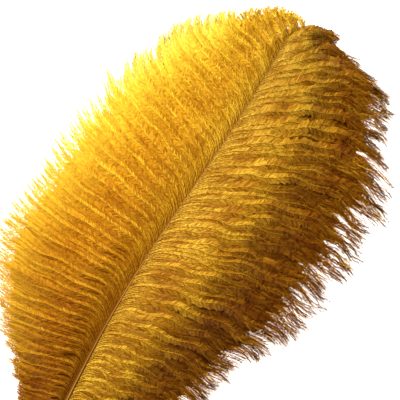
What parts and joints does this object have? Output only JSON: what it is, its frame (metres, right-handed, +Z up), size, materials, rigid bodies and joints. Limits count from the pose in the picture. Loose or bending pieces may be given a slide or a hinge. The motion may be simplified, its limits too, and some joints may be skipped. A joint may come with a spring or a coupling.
{
  "type": "ostrich feather",
  "caption": "Golden-dyed ostrich plume lying face up: a bowed tapering shaft with a deep soft drooping vane on each side and a curled tip.",
  "frame": {"origin": "middle of the feather's bounding box, on the surface that it lies on", "axes": "+Y along the shaft from the quill's cut end to the curled tip, +Z up out of the feather's face, +X across to the wider right vane"},
  "size_m": [0.2562, 0.459, 0.0432],
  "materials": {
    "quill": "satin",
    "left_barbs": "matte",
    "right_barbs": "matte"
  },
  "bodies": {
    "root": {"shaft": "quill", "left_vane": "left_barbs", "right_vane": "right_barbs"}
  },
  "joints": []
}
